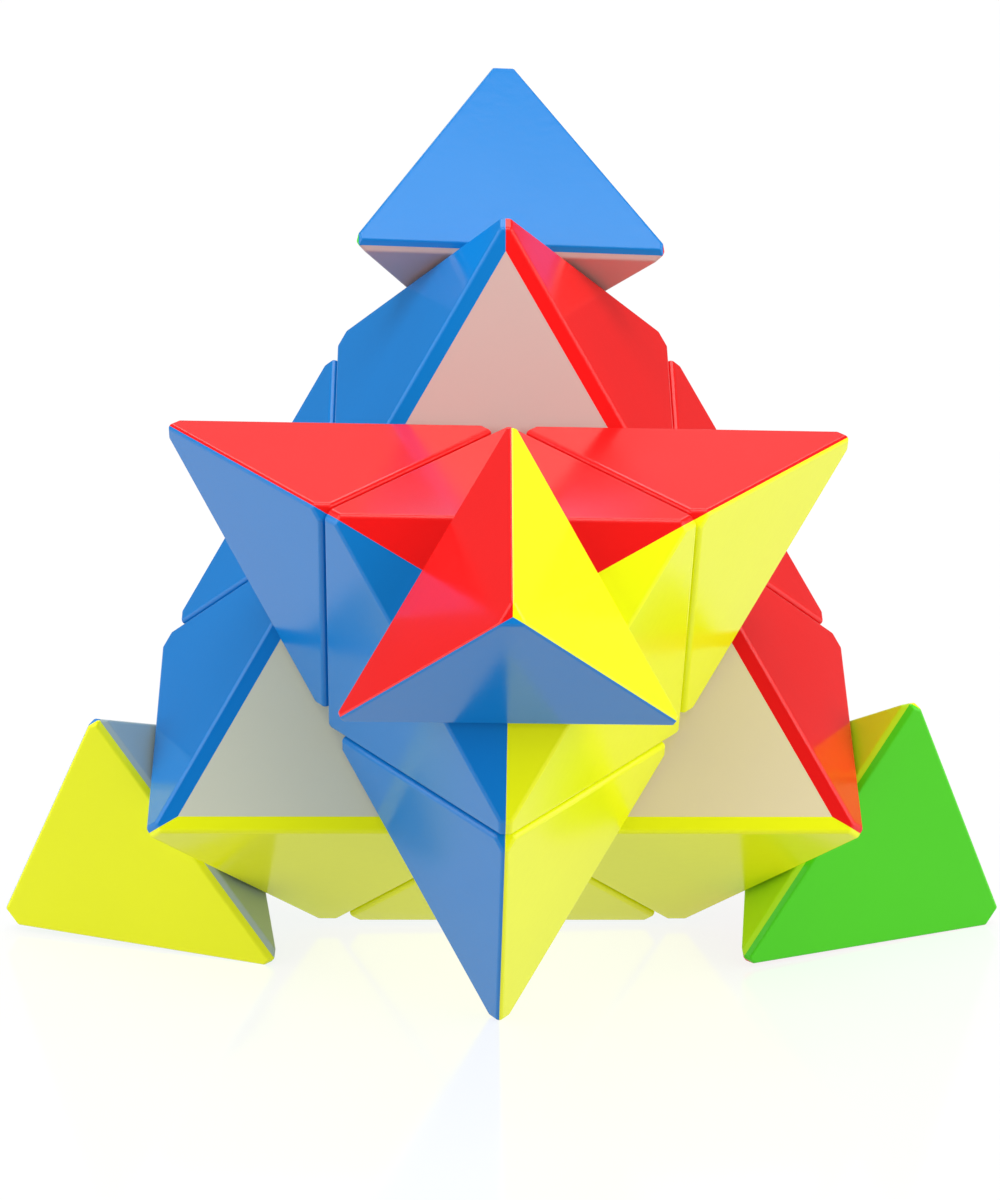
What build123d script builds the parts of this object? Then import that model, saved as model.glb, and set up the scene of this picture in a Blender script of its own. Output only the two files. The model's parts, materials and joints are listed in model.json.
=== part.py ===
from build123d import *
import os
from math import asin, cos, degrees, radians, sin, sqrt, tan

# Pyramid twisty puzzle: a regular tetrahedron cut into four tips, four axials and six edges round a core.
#
# Units are millimetres. Every piece is modelled about the centre of the core, where the four turning
# axes meet. A piece that belongs to one axis is drawn with that axis along +Z, an edge with the middle
# of its outer edge above the origin; then it is placed.
# The puzzle stands on one corner of its turned front layer and on a corner of its left and of its right tip.

# Driving sizes
EDGE = 104.0  # sharp edge of the whole pyramid; the blunt corners leave about 97 mm
CAP = 1.5  # thickness of the coloured shells
GAP = 0.4  # clearance between two layers
TIP_SHIFT = 1.2  # how far beyond a third of the height the tips are parted
TIP_PROUD = 0.45  # the tips' sharp corner lies this far beyond the whole pyramid's
BLUNT = 2.2  # height cut from each sharp outer corner
CORNER_BLUNT = 2.0  # how far an edge piece's rounded corners stay inside its sharp ones
AXIAL_BLUNT = 0.8  # the same for an axial's corners
EDGE_ROUND = 0.5  # rounding of an axial's and an edge piece's outside edges
TIP_ROUND = 0.35  # the same for a tip
TIP_BEVEL = 1.3  # width of the flat between a tip's faces and its underside
TIP_CORNER_BLUNT = 1.6  # how far a tip's three low corners stay inside its sharp ones
TIP_PLATE = 0.5  # how far up the sides the underside's plate reaches

# How far each layer is turned from the solved state, anticlockwise seen from outside, in degrees
FRONT_LAYER_TURN = 59.1
TIP_TURN = {"front": 119.4, "top": 64.5, "left": 44.0, "right": 188.2}

# How it stands
REST_PITCH = -14.71  # turn about X
REST_ROLL = 0.42  # turn about Y
REST_AT = (0.20, 11.87, 34.79)  # centre of the core, over the middle of the table area it covers

# Turning mechanism
CORE_R = 9.5  # ball at the centre
FOOT_IN_R = 9.9  # the edges' feet slide between these two radii
FOOT_OUT_R = 15.3
SHELL_R = 15.7  # underside of the axials, over the feet
FOOT_WIDE = 14.5  # half angles that a foot spans: it clears the stems and the other layers' feet
FOOT_LONG = 40.0
STEM_CONE = 33.0  # half angle of an axial's stem
POST_R = 3.2
POST_TOP = 23.4
BORE_R = 3.25
HUB_R = 6.0  # hub of a tip, which turns in its axial
HUB_SEAT_R = 6.05
SEAT = 24.0  # height of the shoulder that the hub turns over
HUB_BOTTOM = 24.3
HUB_FLOOR = 2.4
WELL_R = 4.4  # spring well in the hub
TIP_BASE_TOP = 42.0
POCKET = 3.4  # depth of the hollows behind the coloured shells
POCKET_RIM = 2.8  # wall left round them

# Screw, spring and washer on each axis
SHANK_R = 1.2
PILOT_R = 1.25
PASS_R = 1.6  # hole for the screw in a hub's floor
SHANK_END = 12.0
HEAD_R = 3.3
HEAD_LENGTH = 2.2
SLOT = 0.9  # width of the cross slot
WASHER_R = 3.9
WASHER_THICK = 0.5
WASHER_BOTTOM = 38.2
SPRING_R = 3.3  # to the middle of the wire
WIRE_R = 0.4
SPRING_TURNS = 5

# Worked out from the driving sizes
RADIUS = EDGE * sqrt(6) / 4  # centre to sharp corner
THIRD = EDGE * sqrt(2 / 3) / 3  # a third of the height
LAYER_CUT = RADIUS - 2 * THIRD
TIP_CUT = RADIUS - THIRD + TIP_SHIFT
TIP_APEX = RADIUS + TIP_PROUD
SLOPE = degrees(asin(1 / 3))  # between an axis and the faces round it
HALF = GAP / 2
FLAT = 2 * sqrt(2) / 3

AROUND = {  # the other corners, anticlockwise seen from outside each corner
    "front": ("top", "left", "right"),
    "top": ("front", "right", "left"),
    "left": ("front", "top", "right"),
    "right": ("front", "left", "top"),
}
CORNER = {
    "front": Vector(0, -1, 0),
    "top": Vector(0, 1 / 3, FLAT),
    "left": Vector(-sqrt(6) / 3, 1 / 3, -FLAT / 2),
    "right": Vector(sqrt(6) / 3, 1 / 3, -FLAT / 2),
}
OPPOSITE_COLOUR = {"front": "green", "top": "yellow", "left": "red", "right": "blue"}
EDGES = (
    ("front", "top"), ("front", "left"), ("front", "right"),
    ("top", "left"), ("left", "right"), ("right", "top"),
)

# Directions of the corners, for a piece with one corner along +Z and for an edge piece
AXIS = Vector(0, 0, 1)
OTHERS = [Vector(FLAT * cos(radians(a)), FLAT * sin(radians(a)), -1 / 3) for a in (0, 120, 240)]
NEAR = [Vector(side * sqrt(2 / 3), 0, 1 / sqrt(3)) for side in (1, -1)]
FAR = [Vector(0, side * sqrt(2 / 3), -1 / sqrt(3)) for side in (1, -1)]


def square_to(direction, distance):
    """Plane square to a direction, at that distance from the centre."""
    return Plane(origin=direction * distance, z_dir=direction)


def pyramid(apex, low, high):
    """Adds a regular pyramid round +Z, its tip at apex, cut off at two heights."""
    with BuildSketch(Plane.XY.offset(low)) as base:
        RegularPolygon(radius=(apex - low) / sqrt(2), side_count=3)
    extrude(base.sketch, amount=high - low, taper=SLOPE)


def trim(cuts, inset=0):
    """Cuts off what lies beyond each plane, given as a direction and a distance."""
    for direction, distance in cuts:
        split(bisect_by=square_to(direction, distance - inset), keep=Keep.BOTTOM)


def trim_corners(middle, directions, reach, inset):
    """Blunts the corners that lie in those directions from the middle, at that distance."""
    for direction in directions:
        cut = Plane(origin=middle + direction * (reach - inset), z_dir=direction)
        split(bisect_by=cut, keep=Keep.BOTTOM)


def round_off(radius):
    """Grows the piece by the radius with every edge rounded."""
    offset(amount=radius, kind=Kind.ARC)


def cone_region(direction, half_angle, height):
    """A solid cone from the centre round a direction."""
    with BuildPart(square_to(direction, 0)) as region:
        Cone(0, height * tan(radians(half_angle)), height, align=(Align.CENTER, Align.CENTER, Align.MIN))
    return region.part


def keep_sector(middle):
    """Keeps the third of a piece round the azimuth middle."""
    for azimuth in (middle - 30, middle + 30):
        normal = (cos(radians(azimuth)), sin(radians(azimuth)), 0)
        split(bisect_by=Plane(origin=(0, 0, 0), z_dir=normal), keep=Keep.TOP)


def column(radius, bottom, top, mode=Mode.ADD):
    """A cylinder round +Z between two heights."""
    with Locations((0, 0, bottom)):
        Cylinder(radius, top - bottom, align=(Align.CENTER, Align.CENTER, Align.MIN), mode=mode)


def pocket(centre, inward, towards, reach):
    """Cuts a three-cornered hollow behind a coloured shell, one corner pointing towards a direction."""
    plane = Plane(origin=centre + inward * (CAP - 0.1), x_dir=towards, z_dir=inward)
    with BuildSketch(plane) as outline:
        RegularPolygon(radius=reach, side_count=3)
        fillet(outline.vertices(), 1.0)
    extrude(outline.sketch, amount=POCKET, mode=Mode.SUBTRACT)


# ---- Axial: an eight-sided piece under each tip ----
AXIAL_OUT = sqrt(2 / 3)
AXIAL_UPPER = [
    Vector(AXIAL_OUT * cos(radians(a)), AXIAL_OUT * sin(radians(a)), 1 / sqrt(3)) for a in (0, 120, 240)
]
AXIAL_LOWER = [direction * -1 for direction in AXIAL_UPPER]

with BuildPart() as axial_block:
    pyramid(RADIUS - 3 * EDGE_ROUND, LAYER_CUT + HALF + EDGE_ROUND, TIP_CUT - HALF - EDGE_ROUND)
    trim([(direction, LAYER_CUT - HALF) for direction in OTHERS], EDGE_ROUND)
    for sides, out in ((AXIAL_UPPER, (RADIUS - TIP_CUT) / sqrt(2)), (AXIAL_LOWER, FLAT * RADIUS / 3)):
        reach = sqrt(out ** 2 + (TIP_CUT - LAYER_CUT) ** 2 / 4) - AXIAL_BLUNT
        trim_corners(AXIS * (TIP_CUT + LAYER_CUT) / 2, sides, reach, EDGE_ROUND)
    round_off(EDGE_ROUND)

with BuildPart() as axial_inside:
    pyramid(RADIUS - 3 * CAP, 0, TIP_CUT - HALF - CAP)

with BuildPart() as axial_stem:
    Sphere(SHELL_R + 0.5)
    Sphere(FOOT_IN_R, mode=Mode.SUBTRACT)
    add(cone_region(AXIS, STEM_CONE, 30), mode=Mode.INTERSECT)

with BuildPart() as axial_body:
    add(axial_block.part)
    add(axial_inside.part, mode=Mode.INTERSECT)
    Sphere(SHELL_R, mode=Mode.SUBTRACT)
    for k in range(3):
        beside = OTHERS[k - 1] + OTHERS[k - 2]
        centre = (AXIS * 5 + beside * 2) * (RADIUS / 9)
        down = (beside - AXIS * 2).normalized()
        pocket(centre + down * 1.2, OTHERS[k], down, EDGE / 3 / sqrt(3) - 2 * POCKET_RIM - 1)
    add(axial_stem.part)
    column(BORE_R, 0, SEAT + 1, Mode.SUBTRACT)
    column(HUB_SEAT_R, SEAT, TIP_CUT, Mode.SUBTRACT)

with BuildPart() as axial_cap:
    add(axial_block.part)
    add(axial_inside.part, mode=Mode.SUBTRACT)
    column(HUB_SEAT_R + 0.4, SEAT, TIP_CUT, Mode.SUBTRACT)
    keep_sector(180)

# ---- Edge: a four-sided piece between two axials, with a foot that runs round the core ----
EDGE_CUTS = [(direction * -1, -LAYER_CUT - HALF) for direction in NEAR]
OUTER_FACES = [(direction * -1, RADIUS / 3) for direction in FAR]

with BuildPart() as edge_block:
    with Locations((0, 0, EDGE / 4)):
        Box(EDGE, EDGE, EDGE / 2)
    trim(EDGE_CUTS + OUTER_FACES, EDGE_ROUND)
    middle = AXIS * (RADIUS / 3 + LAYER_CUT + HALF) * (sqrt(3) / 2)
    reach = (RADIUS / 3 - LAYER_CUT - HALF) * 1.5 - CORNER_BLUNT
    trim_corners(middle, NEAR + FAR, reach, EDGE_ROUND)
    round_off(EDGE_ROUND)

with BuildPart() as edge_inside:
    with Locations((0, 0, EDGE / 4)):
        Box(EDGE, EDGE, EDGE / 2)
    trim(OUTER_FACES, CAP)

with BuildPart() as edge_foot:
    Sphere(FOOT_OUT_R)
    Sphere(FOOT_IN_R, mode=Mode.SUBTRACT)
    for side in (1, -1):
        across = Vector(side * cos(radians(FOOT_WIDE)), 0, -sin(radians(FOOT_WIDE)))
        along = Vector(0, side * cos(radians(FOOT_LONG)), -sin(radians(FOOT_LONG)))
        trim([(across, 0), (along, 0)])

with BuildPart() as edge_body:
    add(edge_block.part)
    add(edge_inside.part, mode=Mode.INTERSECT)
    for k in range(2):
        centre = ((NEAR[0] + NEAR[1]) * 4 + FAR[1 - k]) * (RADIUS / 9)
        down = (FAR[1 - k] * 2 - NEAR[0] - NEAR[1]).normalized()
        pocket(centre, FAR[k], down, EDGE / 3 / sqrt(3) - 2 * POCKET_RIM)
    add(edge_foot.part)

with BuildPart() as edge_cap:
    add(edge_block.part)
    add(edge_inside.part, mode=Mode.SUBTRACT)
    split(bisect_by=Plane.XZ, keep=Keep.TOP)

# ---- Tip: a small pyramid that turns on its own axis ----
with BuildPart() as tip_block:
    pyramid(TIP_APEX - 3 * TIP_ROUND, TIP_CUT + HALF + TIP_ROUND, TIP_APEX - BLUNT - TIP_ROUND)
    for direction in OTHERS:
        slope = direction * -1 - AXIS
        edge_line = (TIP_APEX / 3 - TIP_CUT - HALF) / slope.length
        trim([(slope.normalized(), edge_line - TIP_BEVEL / sqrt(2))], TIP_ROUND)
    corners = [(direction - AXIS * direction.dot(AXIS)).normalized() for direction in OTHERS]
    reach = (TIP_APEX - TIP_CUT - HALF) / sqrt(2) - TIP_CORNER_BLUNT
    trim_corners(AXIS * TIP_CUT, corners, reach, TIP_ROUND)
    round_off(TIP_ROUND)

with BuildPart() as tip_inside:
    pyramid(TIP_APEX - 3 * CAP, TIP_CUT - CAP, TIP_APEX - 4.2 * CAP)
    with Locations(AXIS * (TIP_CUT + HALF + TIP_PLATE - 2)):
        Box(EDGE, EDGE, 4)

with BuildPart() as tip_base:
    add(tip_block.part)
    add(tip_inside.part, mode=Mode.INTERSECT)
    trim([(AXIS, TIP_BASE_TOP)])
    column(HUB_R, HUB_BOTTOM, TIP_CUT + 1)
    column(WELL_R, HUB_BOTTOM + HUB_FLOOR, TIP_BASE_TOP, Mode.SUBTRACT)
    column(PASS_R, HUB_BOTTOM, TIP_CUT, Mode.SUBTRACT)

with BuildPart() as tip_cap:
    add(tip_block.part)
    add(tip_inside.part, mode=Mode.SUBTRACT)
    keep_sector(180)

# ---- Screw, spring and washer of one axis ----
with BuildPart() as screw:
    column(SHANK_R, SHANK_END, WASHER_BOTTOM + WASHER_THICK)
    chamfer(screw.edges().group_by(Axis.Z)[0], 0.5)
    column(HEAD_R, WASHER_BOTTOM + WASHER_THICK, WASHER_BOTTOM + WASHER_THICK + HEAD_LENGTH)
    fillet(screw.edges().group_by(Axis.Z)[-1], 0.8)
    with BuildSketch(Plane.XY.offset(WASHER_BOTTOM + WASHER_THICK + HEAD_LENGTH)) as slot:
        Rectangle(2 * HEAD_R * 0.62, SLOT)
        Rectangle(SLOT, 2 * HEAD_R * 0.62)
    extrude(amount=-1.2, mode=Mode.SUBTRACT)

with BuildPart() as washer:
    with BuildSketch(Plane.XY.offset(WASHER_BOTTOM)) as ring:
        Circle(WASHER_R)
        Circle(SHANK_R + 0.2, mode=Mode.SUBTRACT)
    extrude(amount=WASHER_THICK)

SPRING_BOTTOM = HUB_BOTTOM + HUB_FLOOR + WIRE_R + 0.1
SPRING_TOP = WASHER_BOTTOM - WIRE_R
with BuildPart() as spring:
    with BuildLine(Plane.XY.offset(SPRING_BOTTOM)) as coil:
        length = SPRING_TOP - SPRING_BOTTOM
        Helix(pitch=length / SPRING_TURNS, height=length, radius=SPRING_R)
    with BuildSketch(Plane(origin=coil.line @ 0, z_dir=coil.line % 0)) as wire:
        Circle(WIRE_R)
    sweep(path=coil.line)

# ---- Core: a ball with a post on each axis ----
STANCE = Location(REST_AT) * Rotation(REST_PITCH, REST_ROLL, 0)


def seat(name, turn=0):
    """Where a piece drawn along +Z goes, for one corner of the pyramid."""
    first = CORNER[AROUND[name][0]]
    along = first - CORNER[name] * first.dot(CORNER[name])
    frame = Plane(origin=(0, 0, 0), x_dir=along, z_dir=CORNER[name])
    return STANCE * frame.location * Rotation(0, 0, turn)


def edge_seat(first, second):
    """Where an edge piece goes, between two corners of the pyramid."""
    turn = Rotation(0, -FRONT_LAYER_TURN, 0) if first == "front" else Rotation(0, 0, 0)
    return STANCE * turn * Plane(origin=(0, 0, 0), x_dir=CORNER[first] - CORNER[second],
                                 z_dir=CORNER[first] + CORNER[second]).location


def place(piece, name, *locations):
    """Saves a piece, or several alike, where they belong."""
    with BuildPart() as placed:
        with Locations(*locations):
            add(piece.part)
    placed.part.label = name
    export_step(placed.part, f"parts/{name}.step")


with BuildPart() as core:
    Sphere(CORE_R)
    for name in CORNER:
        with BuildSketch(square_to(CORNER[name], 0)):
            Circle(POST_R)
        extrude(amount=POST_TOP)
    for name in CORNER:
        with BuildSketch(square_to(CORNER[name], POST_TOP)):
            Circle(PILOT_R)
        extrude(amount=SHANK_END - 1 - POST_TOP, mode=Mode.SUBTRACT)

os.makedirs("parts", exist_ok=True)
place(core, "core", STANCE)
place(screw, "screws", *[seat(name) for name in CORNER])
place(spring, "springs", *[seat(name) for name in CORNER])
place(washer, "washers", *[seat(name) for name in CORNER])

for name in CORNER:
    turn = FRONT_LAYER_TURN if name == "front" else 0
    place(axial_body, f"{name}_axial", seat(name, turn))
    place(tip_base, f"{name}_tip_base", seat(name, TIP_TURN[name]))
    for k in range(3):
        colour = OPPOSITE_COLOUR[AROUND[name][k]]
        place(axial_cap, f"{name}_axial_{colour}_cap", seat(name, turn + 120 * k))
        place(tip_cap, f"{name}_tip_{colour}_cap", seat(name, TIP_TURN[name] + 120 * k))

for first, second in EDGES:
    here = edge_seat(first, second)
    place(edge_body, f"{first}_{second}_edge", here)
    far = [name for name in CORNER if name not in (first, second)]
    for k in range(2):
        # the face opposite a far corner lies on the other side of the middle plane
        side = CORNER[second].cross(CORNER[first]).dot(CORNER[far[k]])
        spin = Rotation(0, 0, 0) if side > 0 else Rotation(0, 0, 180)
        place(edge_cap, f"{first}_{second}_edge_{OPPOSITE_COLOUR[far[k]]}_cap", here * spin)
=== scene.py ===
"""Pyramid twisty puzzle, one layer and the tips part-turned, on a white studio floor."""
import json
from math import radians

import bpy
from mathutils import Euler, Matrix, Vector

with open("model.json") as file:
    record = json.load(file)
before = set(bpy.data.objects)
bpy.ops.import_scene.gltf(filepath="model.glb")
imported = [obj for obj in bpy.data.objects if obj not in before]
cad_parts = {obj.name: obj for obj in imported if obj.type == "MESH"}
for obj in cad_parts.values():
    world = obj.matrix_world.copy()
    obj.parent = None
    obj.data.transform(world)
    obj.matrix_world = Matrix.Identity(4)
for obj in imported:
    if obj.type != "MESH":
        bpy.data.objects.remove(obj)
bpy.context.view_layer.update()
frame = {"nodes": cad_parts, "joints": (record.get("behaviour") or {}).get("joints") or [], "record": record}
CENTRE = Vector(frame["joints"][0]["pos_m"])  # middle of the ball core

PLASTIC_IOR = 1.5
SPECULAR = 0.35  # specular level of the plastics, the metals and the floor
GLOSSY = 0.16  # roughness of the coloured faces
SATIN = 0.38  # roughness of the inner faces
SHADE_SCALE = 60  # the noises' scales, in cycles a metre
SMUDGE_SCALE = 45
PEEL_SCALE = 900
DARKEST = 0.96  # the darkest patch of a colour, as a share of it
BUMP_DEPTH = 0.0005

FLOOR_HALF = 6.0  # metres
FLOOR_GREY = 0.15
FLOOR_ROUGHNESS = 0.13
FLOOR_GLOW, FLOOR_GLOW_SEEN = 0.55, 0.80  # to the object, and to the camera
STUDIO_DIM, CARD_LIGHT = 0.12, 0.3  # world strength all round, and on the card behind
CARD_DIRECTION = (0, 0.976, 0.216)
CARD_EDGE = (0.955, 0.978)  # cosines from the card's direction where it fades out and is full

LENS = 142.7
SENSOR_WIDTH = 36
CLIP_START = 0.01
CAMERA_PLACE = (-0.00549, -0.45936, 0.11255)  # metres from CENTRE
CAMERA_ANGLES = (76.582, 0.205, -0.678)  # degrees

scene = bpy.context.scene
scene.view_settings.view_transform = "Standard"
scene.view_settings.look = "None"

# ---------------------------------------------------------------- materials


def plastic(name, colour, rough=GLOSSY, grain=0.02):
    """Smooth moulded plastic.

    It has faint orange peel, smudges in the gloss and a slight unevenness of colour.
    """
    mat = bpy.data.materials.new(name)
    mat.use_nodes = True
    nodes, links = mat.node_tree.nodes, mat.node_tree.links
    shader = nodes["Principled BSDF"]
    shader.inputs["IOR"].default_value = PLASTIC_IOR
    shader.inputs["Specular IOR Level"].default_value = SPECULAR
    where = nodes.new("ShaderNodeTexCoord")

    def noise(scale, detail):
        texture = nodes.new("ShaderNodeTexNoise")
        texture.inputs["Scale"].default_value = scale
        texture.inputs["Detail"].default_value = detail
        links.new(where.outputs["Object"], texture.inputs["Vector"])
        return texture.outputs["Fac"]

    mix = nodes.new("ShaderNodeMix")
    mix.data_type = "RGBA"
    mix.inputs["A"].default_value = (*[c * DARKEST for c in colour], 1)
    mix.inputs["B"].default_value = (*colour, 1)
    links.new(noise(SHADE_SCALE, 3), mix.inputs["Factor"])
    links.new(mix.outputs["Result"], shader.inputs["Base Color"])
    gloss = nodes.new("ShaderNodeMapRange")
    gloss.inputs["From Min"].default_value = 0.3
    gloss.inputs["From Max"].default_value = 0.75
    gloss.inputs["To Min"].default_value = rough * 0.9
    gloss.inputs["To Max"].default_value = rough * 1.25
    links.new(noise(SMUDGE_SCALE, 3), gloss.inputs["Value"])
    links.new(gloss.outputs["Result"], shader.inputs["Roughness"])
    bump = nodes.new("ShaderNodeBump")
    bump.inputs["Strength"].default_value = grain
    bump.inputs["Distance"].default_value = BUMP_DEPTH
    links.new(noise(PEEL_SCALE, 2), bump.inputs["Height"])
    links.new(bump.outputs["Normal"], shader.inputs["Normal"])
    return mat


def metal(name, colour, rough):
    mat = plastic(name, colour, rough, grain=0.1)
    mat.node_tree.nodes["Principled BSDF"].inputs["Metallic"].default_value = 1.0
    return mat


finish = {
    "red": plastic("red plastic", (0.86, 0.008, 0.008)),
    "blue": plastic("blue plastic", (0.003, 0.20, 0.60)),
    "yellow": plastic("yellow plastic", (0.93, 0.98, 0.006)),
    "green": plastic("green plastic", (0.075, 0.68, 0.006)),
    "inner": plastic("inner plastic", (0.62, 0.61, 0.56), SATIN),
    # stone, sand, olive, slate and blush are the same light inner plastic, each with painted reflected light
    # from the neighbouring coloured faces mixed into its colour: greenish, warm, yellow, bluish and pink
    # from the red.
    "stone": plastic("inner plastic with painted greenish reflection", (0.64, 0.65, 0.50), SATIN),
    "sand": plastic("inner plastic with painted warm reflection", (0.82, 0.70, 0.48), SATIN),
    "olive": plastic("inner plastic with painted yellow reflection", (0.50, 0.90, 0.01), SATIN),
    "slate": plastic("inner plastic with painted bluish reflection", (0.42, 0.52, 0.48), SATIN),
    "blush": plastic("inner plastic with painted red reflection", (0.60, 0.44, 0.40), SATIN),
    "core": plastic("core plastic", (0.55, 0.54, 0.50), 0.45),
    "screw": metal("screw steel", (0.62, 0.62, 0.60), 0.3),
    "spring": metal("spring wire", (0.58, 0.58, 0.60), 0.25),
    "washer": metal("washer steel", (0.62, 0.62, 0.60), 0.35),
}
for part in frame["record"]["subparts"]:
    mesh = frame["nodes"][part["node"]].data
    mesh.materials.clear()
    mesh.materials.append(finish[part["material_slot"]])

# ---------------------------------------------------------------- floor
floor_mesh = bpy.data.meshes.new("floor")
corners = [(x * FLOOR_HALF, y * FLOOR_HALF, 0) for x, y in ((-1, -1), (1, -1), (1, 1), (-1, 1))]
floor_mesh.from_pydata(corners, [], [(0, 1, 2, 3)])
floor = bpy.data.objects.new("floor", floor_mesh)
scene.collection.objects.link(floor)
white = bpy.data.materials.new("floor")
white.use_nodes = True
nodes, links = white.node_tree.nodes, white.node_tree.links
shader = nodes["Principled BSDF"]
shader.inputs["Base Color"].default_value = (FLOOR_GREY, FLOOR_GREY, FLOOR_GREY, 1)
shader.inputs["Roughness"].default_value = FLOOR_ROUGHNESS
shader.inputs["Specular IOR Level"].default_value = SPECULAR
shader.inputs["Emission Color"].default_value = (1, 1, 1, 1)
glow = nodes.new("ShaderNodeMapRange")
ray = nodes.new("ShaderNodeLightPath")
glow.inputs["To Min"].default_value = FLOOR_GLOW
glow.inputs["To Max"].default_value = FLOOR_GLOW_SEEN
links.new(ray.outputs["Is Camera Ray"], glow.inputs["Value"])
links.new(glow.outputs["Result"], shader.inputs["Emission Strength"])
floor_mesh.materials.append(white)

# ---------------------------------------------------------------- studio
# The camera sees plain white. The object sees a dim studio with a white card low behind it.
world = bpy.data.worlds.new("studio")
scene.world = world
world.use_nodes = True
nodes, links = world.node_tree.nodes, world.node_tree.links
where = nodes.new("ShaderNodeTexCoord")
towards = nodes.new("ShaderNodeVectorMath")
towards.operation = "DOT_PRODUCT"
towards.inputs[1].default_value = CARD_DIRECTION
links.new(where.outputs["Generated"], towards.inputs[0])
card = nodes.new("ShaderNodeMapRange")
card.interpolation_type = "SMOOTHSTEP"
card.inputs["From Min"].default_value, card.inputs["From Max"].default_value = CARD_EDGE
card.inputs["To Min"].default_value = STUDIO_DIM
card.inputs["To Max"].default_value = CARD_LIGHT
links.new(towards.outputs["Value"], card.inputs["Value"])
lit = nodes["Background"]
lit.inputs["Color"].default_value = (1, 1, 1, 1)
links.new(card.outputs["Result"], lit.inputs["Strength"])
seen = nodes.new("ShaderNodeBackground")
seen.inputs["Color"].default_value = (1, 1, 1, 1)
seen.inputs["Strength"].default_value = 1.0
path = nodes.new("ShaderNodeLightPath")
either = nodes.new("ShaderNodeMixShader")
links.new(path.outputs["Is Camera Ray"], either.inputs["Fac"])
links.new(lit.outputs["Background"], either.inputs[1])
links.new(seen.outputs["Background"], either.inputs[2])
links.new(either.outputs["Shader"], nodes["World Output"].inputs["Surface"])


def softbox(name, place, size, power):
    """Aim a rectangular light of some watts at CENTRE, from a place measured from there."""
    light = bpy.data.lights.new(name, "AREA")
    light.shape = "RECTANGLE"
    light.size, light.size_y = size
    light.energy = power
    lamp = bpy.data.objects.new(name, light)
    lamp.location = CENTRE + Vector(place)
    lamp.rotation_euler = (Vector(place) * -1).to_track_quat("-Z", "Y").to_euler()
    scene.collection.objects.link(lamp)


softbox("overhead", (0, -0.15, 0.9), (0.9, 0.7), 6.4)
softbox("front overhead", (0, -0.8, 0.8), (0.9, 0.6), 0.8)
softbox("left", (-1.0, -0.1, 0.35), (1.3, 1.1), 8.4)
softbox("right", (1.0, -0.1, 0.35), (1.3, 1.1), 8.7)
softbox("back", (0, 0.9, 0.9), (1.0, 0.6), 3.5)
softbox("left front", (-0.8, -0.8, 0.4), (0.6, 0.6), 2.6)
softbox("right front", (0.8, -0.8, 0.4), (0.6, 0.6), 2.8)

# ---------------------------------------------------------------- camera
cam = bpy.data.cameras.new("camera")
cam.lens = LENS
cam.sensor_width = SENSOR_WIDTH
cam.clip_start = CLIP_START
camera = bpy.data.objects.new("camera", cam)
scene.collection.objects.link(camera)
scene.camera = camera
camera.location = CENTRE + Vector(CAMERA_PLACE)
camera.rotation_euler = Euler([radians(angle) for angle in CAMERA_ANGLES])
